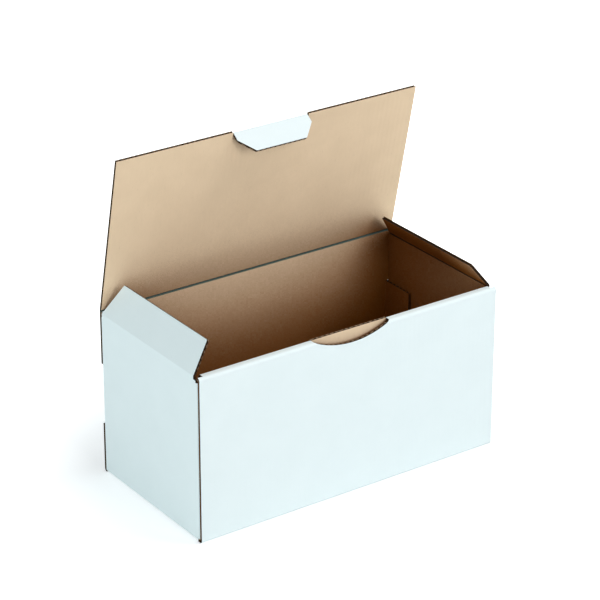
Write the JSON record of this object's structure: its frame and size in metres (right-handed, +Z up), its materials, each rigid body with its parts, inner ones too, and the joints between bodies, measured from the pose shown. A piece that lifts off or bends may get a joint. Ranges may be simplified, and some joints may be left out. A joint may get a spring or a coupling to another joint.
{
  "type": "corrugated mailer box",
  "caption": "White-faced fine-flute mailer box with a roll-over front wall, thumb notch, side dust flaps and a hinged lid with a bevelled tuck tab, standing open.",
  "frame": {"origin": "on the surface it stands on, under the middle of the box", "axes": "+X along the length to the right seen from the front, +Y from the front wall to the back where the lid hangs, +Z up"},
  "size_m": [0.2032, 0.1024, 0.2004],
  "materials": {
    "white_lined_board": "matte"
  },
  "bodies": {
    "carton": {"carton": "white_lined_board"},
    "lid": {"lid": "white_lined_board"},
    "tab": {"tuck_tab": "white_lined_board"},
    "left_flap": {"left_dust_flap": "white_lined_board"},
    "right_flap": {"right_dust_flap": "white_lined_board"}
  },
  "joints": [
    {"name": "lid_fold", "type": "hinge", "parent": "carton", "child": "lid", "pos_m": [0, 0.05035, 0.10255], "axis": [-1, 0, 0], "range_deg": [-77.5, 100]},
    {"name": "tab_fold", "type": "hinge", "parent": "lid", "child": "tab", "pos_m": [0, 0.02905, 0.19862], "axis": [1, 0, 0], "range_deg": [-24.8, 32]},
    {"name": "left_flap_fold", "type": "hinge", "parent": "carton", "child": "left_flap", "pos_m": [-0.1008, 0, 0.1008], "axis": [0, -1, 0], "range_deg": [-81.4, 105]},
    {"name": "right_flap_fold", "type": "hinge", "parent": "carton", "child": "right_flap", "pos_m": [0.1008, 0, 0.1008], "axis": [0, 1, 0], "range_deg": [-62, 80]}
  ],
  "couplings": [
    {"joint": "tab_fold", "follows": "lid_fold", "ratio": 0.32},
    {"joint": "left_flap_fold", "follows": "lid_fold", "ratio": 1.05},
    {"joint": "right_flap_fold", "follows": "lid_fold", "ratio": 0.8}
  ]
}
